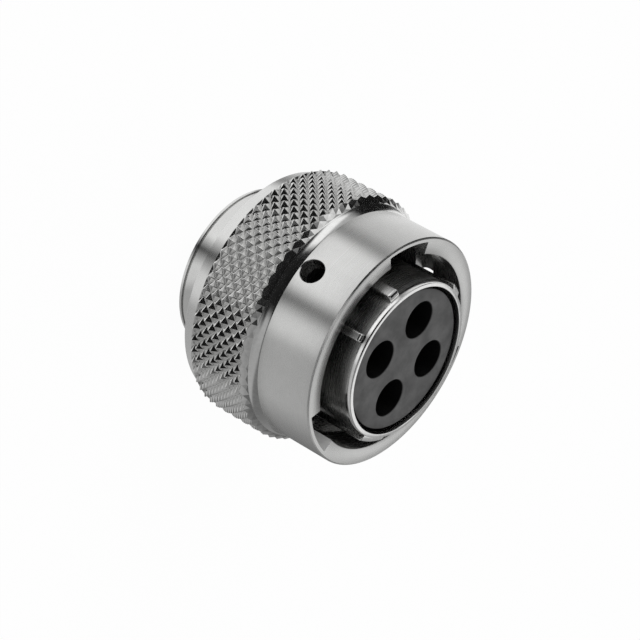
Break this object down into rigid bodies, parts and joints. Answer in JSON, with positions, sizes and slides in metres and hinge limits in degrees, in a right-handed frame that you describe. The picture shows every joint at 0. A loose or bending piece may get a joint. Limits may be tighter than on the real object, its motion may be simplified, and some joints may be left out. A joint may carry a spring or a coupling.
{
  "type": "circular_bayonet_connector_plug",
  "caption": "Round bayonet-lock electrical plug: keyed barrel with socket contacts in a dark insert, and a free-turning knurled coupling ring with entry notches and witness holes",
  "frame": {"origin": "centre of the shell's rear end, on the axis", "axes": "+Z is the mating direction and the axis of symmetry; +X passes through the contact position a quarter turn counter-clockwise from the master key as seen from the mating face"},
  "size_m": [0.0294, 0.0294, 0.0248],
  "materials": {
    "nickel_plate": "satin electroless nickel over aluminium, fine circumferential tool marks",
    "insert_plastic": "matt moulded",
    "dark_rubber": "matt moulded elastomer",
    "spring_steel": "bright stainless steel",
    "contact_gold": "thin gold plate over copper alloy",
    "clip_copper": "bright copper alloy strip"
  },
  "bodies": {
    "shell": {"plug_shell": "nickel_plate", "peripheral_seal": "dark_rubber", "wave_washer": "spring_steel", "front_insert": "insert_plastic", "retention_disc": "insert_plastic", "rear_grommet": "dark_rubber", "insert_lock_ring": "spring_steel", "socket_contact_1": "contact_gold", "socket_contact_2": "contact_gold", "socket_contact_3": "contact_gold", "socket_contact_4": "contact_gold", "contact_hood_1": "spring_steel", "contact_hood_2": "spring_steel", "contact_hood_3": "spring_steel", "contact_hood_4": "spring_steel", "contact_clip_1": "clip_copper", "contact_clip_2": "clip_copper", "contact_clip_3": "clip_copper", "contact_clip_4": "clip_copper"},
    "washer": {"thrust_washer": "spring_steel"},
    "ring": {"coupling_ring": "nickel_plate", "retaining_ring": "spring_steel"}
  },
  "joints": [
    {"name": "ring_float", "type": "slide", "parent": "shell", "child": "washer", "axis": [0, 0, 1], "range_m": [0, 0.0006], "stiffness_N_per_m": 500, "springref_m": -0.0004, "deforming": ["wave_washer"]},
    {"name": "ring_turn", "type": "hinge", "parent": "washer", "child": "ring", "pos_m": [0, 0, 0.0091], "axis": [0, 0, 1], "continuous": true}
  ]
}
